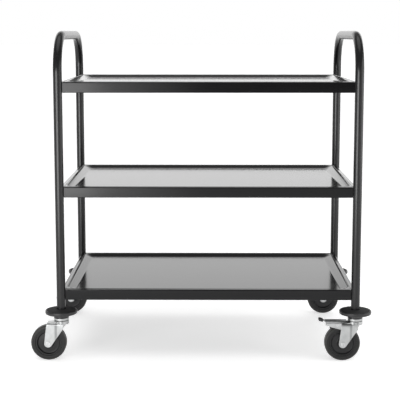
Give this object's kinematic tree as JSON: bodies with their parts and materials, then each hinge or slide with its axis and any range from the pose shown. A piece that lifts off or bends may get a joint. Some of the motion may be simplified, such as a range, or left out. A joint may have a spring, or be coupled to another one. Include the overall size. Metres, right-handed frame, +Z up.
{
  "type": "rolling utility cart",
  "caption": "Serving trolley with sunk tray shelves between bent-tube end frames that form push handles, on swivel castors with round bumpers and foot brakes.",
  "frame": {"origin": "on the floor under the middle of the parked trolley's outline", "axes": "+X along the shelves, away from the side that the castors trail to; +Y to the rear; +Z up"},
  "size_m": [0.961, 0.6, 0.9247],
  "materials": {
    "black_coated_steel": "satin black coat on round steel tube",
    "black_brushed_steel": "satin black coat over lengthwise brushed sheet",
    "fastener_steel": "zinc plated",
    "zinc_plated_steel": "bright zinc plated pressing",
    "bearing_steel": "polished balls",
    "pedal_steel": "zinc plated, scuffed",
    "bumper_rubber": "moulded, matt black",
    "tyre_rubber": "moulded, dark grey",
    "wheel_plastic": "moulded, dark grey",
    "bush_plastic": "natural nylon",
    "expander_plastic": "moulded, black",
    "cap_rubber": "moulded, matt black"
  },
  "bodies": {
    "frame": {"end_frame_left": "black_coated_steel", "end_frame_right": "black_coated_steel", "top_shelf": "black_brushed_steel", "top_shelf_stiffener": "black_coated_steel", "middle_shelf": "black_brushed_steel", "middle_shelf_stiffener": "black_coated_steel", "bottom_shelf": "black_brushed_steel", "bottom_shelf_stiffener": "black_coated_steel", "shelf_bolts": "fastener_steel", "shelf_washers": "fastener_steel", "post_inserts": "fastener_steel", "castor_stems": "fastener_steel", "kingpin_nuts": "fastener_steel", "expander_nuts": "fastener_steel", "expander_bushes": "expander_plastic", "bumper_front_left": "bumper_rubber", "castor_head_front_left": "zinc_plated_steel", "bumper_front_right": "bumper_rubber", "castor_head_front_right": "zinc_plated_steel", "bumper_rear_left": "bumper_rubber", "castor_head_rear_left": "zinc_plated_steel", "bumper_rear_right": "bumper_rubber", "castor_head_rear_right": "zinc_plated_steel"},
    "castor_front_left": {"castor_fork_front_left": "zinc_plated_steel", "race_balls_front_left": "bearing_steel", "axle_bolt_front_left": "fastener_steel", "axle_nut_front_left": "fastener_steel"},
    "wheel_front_left": {"tyre_front_left": "tyre_rubber", "wheel_hub_front_left": "wheel_plastic", "wheel_bush_front_left": "bush_plastic"},
    "castor_front_right": {"castor_fork_front_right": "zinc_plated_steel", "race_balls_front_right": "bearing_steel", "axle_bolt_front_right": "fastener_steel", "axle_nut_front_right": "fastener_steel", "pedal_pin_front_right": "fastener_steel"},
    "wheel_front_right": {"tyre_front_right": "tyre_rubber", "wheel_hub_front_right": "wheel_plastic", "wheel_bush_front_right": "bush_plastic"},
    "brake_front_right": {"brake_pedal_front_right": "pedal_steel", "pedal_cap_front_right": "cap_rubber", "brake_shoe_front_right": "cap_rubber"},
    "castor_rear_left": {"castor_fork_rear_left": "zinc_plated_steel", "race_balls_rear_left": "bearing_steel", "axle_bolt_rear_left": "fastener_steel", "axle_nut_rear_left": "fastener_steel"},
    "wheel_rear_left": {"tyre_rear_left": "tyre_rubber", "wheel_hub_rear_left": "wheel_plastic", "wheel_bush_rear_left": "bush_plastic"},
    "castor_rear_right": {"castor_fork_rear_right": "zinc_plated_steel", "race_balls_rear_right": "bearing_steel", "axle_bolt_rear_right": "fastener_steel", "axle_nut_rear_right": "fastener_steel", "pedal_pin_rear_right": "fastener_steel"},
    "wheel_rear_right": {"tyre_rear_right": "tyre_rubber", "wheel_hub_rear_right": "wheel_plastic", "wheel_bush_rear_right": "bush_plastic"},
    "brake_rear_right": {"brake_pedal_rear_right": "pedal_steel", "pedal_cap_rear_right": "cap_rubber", "brake_shoe_rear_right": "cap_rubber"}
  },
  "joints": [
    {"name": "swivel_front_left", "type": "hinge", "parent": "frame", "child": "castor_front_left", "pos_m": [-0.3945, -0.255, 0.11], "axis": [0, 0, 1], "continuous": true},
    {"name": "spin_front_left", "type": "hinge", "parent": "castor_front_left", "child": "wheel_front_left", "pos_m": [-0.4305, -0.255, 0.05], "axis": [0, 1, 0], "continuous": true},
    {"name": "swivel_front_right", "type": "hinge", "parent": "frame", "child": "castor_front_right", "pos_m": [0.4355, -0.255, 0.11], "axis": [0, 0, 1], "continuous": true},
    {"name": "spin_front_right", "type": "hinge", "parent": "castor_front_right", "child": "wheel_front_right", "pos_m": [0.3995, -0.255, 0.05], "axis": [0, 1, 0], "continuous": true},
    {"name": "brake_front_right", "type": "hinge", "parent": "castor_front_right", "child": "brake_front_right", "pos_m": [0.3835, -0.255, 0.105], "axis": [0, -1, 0], "range_deg": [0, 8]},
    {"name": "swivel_rear_left", "type": "hinge", "parent": "frame", "child": "castor_rear_left", "pos_m": [-0.3945, 0.255, 0.11], "axis": [0, 0, 1], "continuous": true},
    {"name": "spin_rear_left", "type": "hinge", "parent": "castor_rear_left", "child": "wheel_rear_left", "pos_m": [-0.4305, 0.255, 0.05], "axis": [0, 1, 0], "continuous": true},
    {"name": "swivel_rear_right", "type": "hinge", "parent": "frame", "child": "castor_rear_right", "pos_m": [0.4355, 0.255, 0.11], "axis": [0, 0, 1], "continuous": true},
    {"name": "spin_rear_right", "type": "hinge", "parent": "castor_rear_right", "child": "wheel_rear_right", "pos_m": [0.3995, 0.255, 0.05], "axis": [0, 1, 0], "continuous": true},
    {"name": "brake_rear_right", "type": "hinge", "parent": "castor_rear_right", "child": "brake_rear_right", "pos_m": [0.3835, 0.255, 0.105], "axis": [0, -1, 0], "range_deg": [0, 8]}
  ]
}
